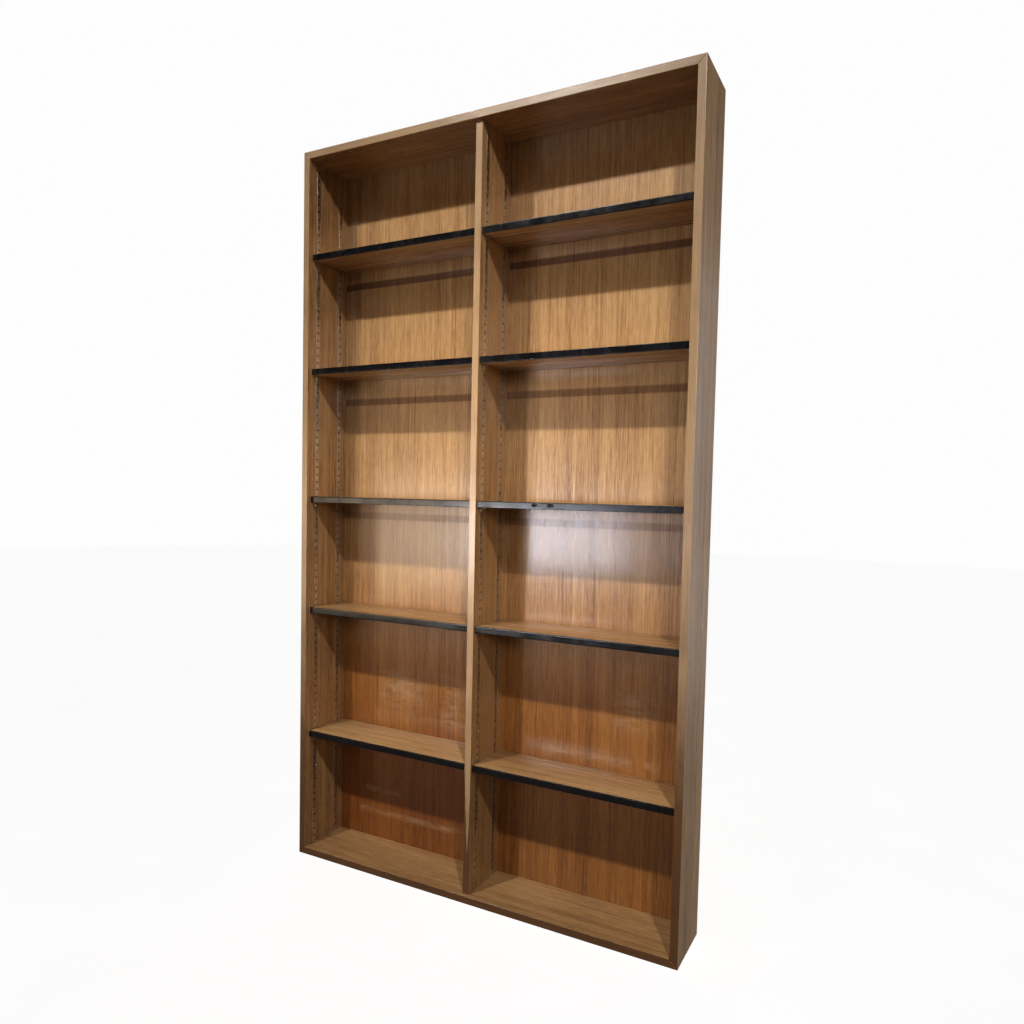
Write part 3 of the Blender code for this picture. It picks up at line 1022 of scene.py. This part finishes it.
def add_bent_strip(bm, centre_line, sheet, width, place):
    """Add a strip of sheet bent along a line, with its edges left square."""
    points = [Vector(point) for point in centre_line]
    sides = []
    for i, point in enumerate(points):
        before = points[max(i - 1, 0)]
        after = points[min(i + 1, len(points) - 1)]
        along = (after - before).normalized()
        square = Vector((-along.y, along.x))
        bend = 1.0
        if 0 < i < len(points) - 1:
            first = (point - before).normalized()
            second = (after - point).normalized()
            bend = 1.0 / max(0.5, math.sqrt((1.0 + first.dot(second)) / 2))
        half = square * sheet * bend / 2
        sides.append((point + half, point - half))
    rings = []
    for upper, lower in sides:
        ring = []
        for point, across in ((upper, -1), (upper, 1), (lower, 1), (lower, -1)):
            corner = Vector((point.x, across * width / 2, point.y))
            ring.append(bm.verts.new(place @ corner))
        rings.append(ring)
    skin(bm, rings)


def arc(centre, radius, start, end, steps=5):
    """Points on an arc, in degrees."""
    turns = [math.radians(start + (end - start) * i / steps) for i in range(steps + 1)]
    return [(centre[0] + radius * math.cos(a), centre[1] + radius * math.sin(a))
            for a in turns]


def add_clip(bm, place, sizes):
    """Add one clip: its web on the standard, arm under the shelf and hooked tongue."""
    sheet = sizes.clip_sheet
    web = 0.0003 + sheet / 2
    arm = CLIP_RISE - sheet / 2
    bend = 0.0016
    line = [(web + 0.0007, -0.0089), (web, -0.0074)]
    line += arc((web + bend, arm - bend), bend, 180, 90)
    line += [(0.0135, arm), (0.0158, arm - 0.0007)]
    add_bent_strip(bm, line, sheet, sizes.clip_width, place)
    tongue = [(web, 0.0004), (-0.0006, 0.0004)]
    tongue += arc((-0.0006, -0.0006), 0.0010, 90, 160, 3)
    tongue += [(-0.0019, -0.0016)]
    add_bent_strip(bm, tongue, sheet * 0.8, sizes.clip_width * 0.8, place)
    # A pressed rib stiffens the bend.
    rib = [(web + sheet * 0.45, arm - 0.0052), (web + 0.0052, arm - sheet * 0.45)]
    add_bent_strip(bm, rib, 0.0014, 0.0024, place)


class BOOKCASE_OT_clips(bpy.types.Operator):
    """Bend the four clips that carry each shelf"""

    bl_idname = "bookcase.clips"
    bl_label = "Shelf clips"

    def execute(self, context):
        sizes, colours, _ = settings()
        steel = plated_steel("clip_bright_steel", colours.clip, (0.30, 0.27, 0.23), 0.22)
        for bay, number in SHELVES:
            bm = bmesh.new()
            nodes = []
            for end, face in zip(("left", "right"), BAYS[bay]):
                node = f"shelf_{bay}_{number}_clip_{end}"
                nodes.append(node)
                slot_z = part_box(node)[1].z - CLIP_RISE
                facing = FACING[face]
                for row in ROWS:
                    low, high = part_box(f"standard_{face}_{row}")
                    face_x = high.x if facing > 0 else low.x
                    place = Matrix.Translation((face_x, (low.y + high.y) / 2, slot_z))
                    place @= Matrix.Diagonal((facing, 1.0, 1.0, 1.0))
                    add_clip(bm, place, sizes)
            ease(bm, 0.00025, 1)
            clips = piece(f"shelf_{bay}_{number}_clips", bm, [steel],
                          f"{bay}_shelf_{number}")
            shade_by_angle(clips)
            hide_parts(*nodes)
        return {"FINISHED"}


# ---------- stage

def pale_floor(name, colour):
    """A pale floor that stays pale to the eye and throws little light back."""
    floor = Finish(name)
    seen = floor.add("ShaderNodeLightPath", output="Is Camera Ray")
    mottle = floor.noise(floor.place, 3.0, 3.0, 0.5)
    shade = floor.spread(mottle, 0.3, 0.7, 0.985, 1.0)
    tint = floor.add("ShaderNodeVectorMath", {0: colour, "Scale": shade},
                     operation="SCALE")
    lit = floor.add("ShaderNodeBsdfDiffuse", {"Color": tint})
    glow = floor.add("ShaderNodeEmission", {"Color": tint, "Strength": 1.03})
    bright = floor.add("ShaderNodeAddShader", {0: lit, 1: glow})
    dim = floor.add("ShaderNodeEmission", {"Color": (0.95, 0.85, 0.72, 1.0),
                                           "Strength": 0.13})
    shader = floor.add("ShaderNodeMixShader", {0: seen, 1: dim, 2: bright})
    output = floor.tree.nodes.new("ShaderNodeOutputMaterial")
    floor.tree.links.new(shader, output.inputs["Surface"])
    return floor.material


def surroundings(stage):
    """Pale to the eye; to everything else a dim room."""
    world = bpy.data.worlds.new("surroundings")
    world.use_nodes = True
    tree = world.node_tree
    tree.nodes.clear()
    path = tree.nodes.new("ShaderNodeLightPath")
    seen = tree.nodes.new("ShaderNodeBackground")
    seen.inputs["Color"].default_value = (*stage.floor, 1.0)
    seen.inputs["Strength"].default_value = 1.06
    room = tree.nodes.new("ShaderNodeBackground")
    room.inputs["Color"].default_value = (*stage.ambient, 1.0)
    mix = tree.nodes.new("ShaderNodeMixShader")
    output = tree.nodes.new("ShaderNodeOutputWorld")
    tree.links.new(path.outputs["Is Camera Ray"], mix.inputs[0])
    tree.links.new(room.outputs[0], mix.inputs[1])
    tree.links.new(seen.outputs[0], mix.inputs[2])
    tree.links.new(mix.outputs[0], output.inputs["Surface"])
    bpy.context.scene.world = world


def area_light(name, place, target, size, power, colour, spread):
    light = bpy.data.lights.new(name, "AREA")
    light.shape = "RECTANGLE"
    light.size, light.size_y = size
    light.spread = math.radians(spread)
    light.energy = power
    light.color = colour
    lamp = bpy.data.objects.new(name, light)
    lamp.location = place
    aim = Vector(target) - Vector(place)
    lamp.rotation_euler = aim.to_track_quat("-Z", "Y").to_euler()
    bpy.context.scene.collection.objects.link(lamp)
    return lamp


class BOOKCASE_OT_stage(bpy.types.Operator):
    """Set the floor, the lights and the camera"""

    bl_idname = "bookcase.stage"
    bl_label = "Stage"

    def execute(self, context):
        _, _, stage = settings()
        scene = context.scene
        foot = CAD_BOX[0][2]
        bm = bmesh.new()
        bmesh.ops.create_circle(bm, cap_ends=True, segments=96, radius=FLOOR_RADIUS,
                                matrix=Matrix.Translation((0.0, 0.0, foot)))
        mesh = bpy.data.meshes.new("floor")
        bm.to_mesh(mesh)
        bm.free()
        mesh.materials.append(pale_floor("pale_floor", stage.floor))
        floor = bpy.data.objects.new("floor", mesh)
        scene.collection.objects.link(floor)

        lamps = {}
        for name, place, power in (
                ("key_left", stage.key_left, stage.key_power[0]),
                ("key_right", stage.key_right, stage.key_power[1])):
            lamps[name] = area_light(name, place, KEY_AIM, (stage.key_size,) * 2,
                                     power, KEY_COLOUR, KEY_SPREAD)
        powers = {"window": stage.window_power, "room_left": stage.room_power,
                  "low_right": stage.low_power,
                  "low_left": stage.low_power * LOW_LEFT_SHARE,
                  "room_right": stage.side_power}
        for name, (place, aim, size, colour, spread) in LAMPS.items():
            lamps[name] = area_light(name, place, aim, size, powers[name], colour,
                                     spread)
        lamps["low_left"].visible_glossy = False
        lit = bpy.data.collections.new("lit_by_lamps")
        lit.objects.link(floor)
        for name in OFF_THE_FLOOR:
            lamps[name].light_linking.receiver_collection = lit
        lit.collection_objects[0].light_linking.link_state = "EXCLUDE"
        surroundings(stage)

        forward = Vector((-math.sin(stage.yaw), math.cos(stage.yaw), 0.0))
        right = Vector((math.cos(stage.yaw), math.sin(stage.yaw), 0.0))
        up = Vector((0.0, 0.0, 1.0))
        tilted = forward * math.sin(stage.pitch) + up * math.cos(stage.pitch)
        look = forward * math.cos(stage.pitch) - up * math.sin(stage.pitch)
        across = right * math.cos(stage.roll) + tilted * math.sin(stage.roll)
        top = tilted * math.cos(stage.roll) - right * math.sin(stage.roll)
        turn = Matrix((across, top, -look)).transposed().to_4x4()
        data = bpy.data.cameras.new("camera")
        data.sensor_width = 36.0
        data.lens = stage.lens
        data.shift_x, data.shift_y = stage.shift
        camera = bpy.data.objects.new("camera", data)
        camera.matrix_world = Matrix.Translation(stage.eye) @ turn
        scene.collection.objects.link(camera)
        scene.camera = camera
        scene.view_settings.view_transform = "Standard"
        return {"FINISHED"}


# ---------- panel

STEPS = (
    "carcass", "back_panel", "back_pins", "divider_edge", "standards", "shelves",
    "lippings", "clips", "stage",
)


class BOOKCASE_PT_panel(bpy.types.Panel):
    """Lists every step of the bookcase with its settings"""

    bl_idname = "BOOKCASE_PT_panel"
    bl_label = "Bookcase"
    bl_space_type = "VIEW_3D"
    bl_region_type = "UI"
    bl_category = "Bookcase"

    def draw(self, context):
        layout = self.layout
        for group in settings():
            box = layout.box()
            for key in group.bl_rna.properties.keys():
                if key not in {"rna_type", "name"}:
                    box.prop(group, key)
        for step in STEPS:
            layout.operator(f"bookcase.{step}")


CLASSES = (
    BookcaseSizes, BookcaseFinish, BookcaseStage, BOOKCASE_OT_carcass,
    BOOKCASE_OT_back_panel, BOOKCASE_OT_back_pins, BOOKCASE_OT_divider_edge,
    BOOKCASE_OT_standards, BOOKCASE_OT_shelves, BOOKCASE_OT_lippings,
    BOOKCASE_OT_clips, BOOKCASE_OT_stage, BOOKCASE_PT_panel,
)


def register():
    for made in CLASSES:
        bpy.utils.register_class(made)
    bpy.types.Scene.bookcase_sizes = PointerProperty(type=BookcaseSizes)
    bpy.types.Scene.bookcase_finish = PointerProperty(type=BookcaseFinish)
    bpy.types.Scene.bookcase_stage = PointerProperty(type=BookcaseStage)


def unregister():
    del bpy.types.Scene.bookcase_stage
    del bpy.types.Scene.bookcase_finish
    del bpy.types.Scene.bookcase_sizes
    for made in reversed(CLASSES):
        bpy.utils.unregister_class(made)


def main():
    register()
    for step in STEPS:
        getattr(bpy.ops.bookcase, step)()


if __name__ == "__main__":
    main()
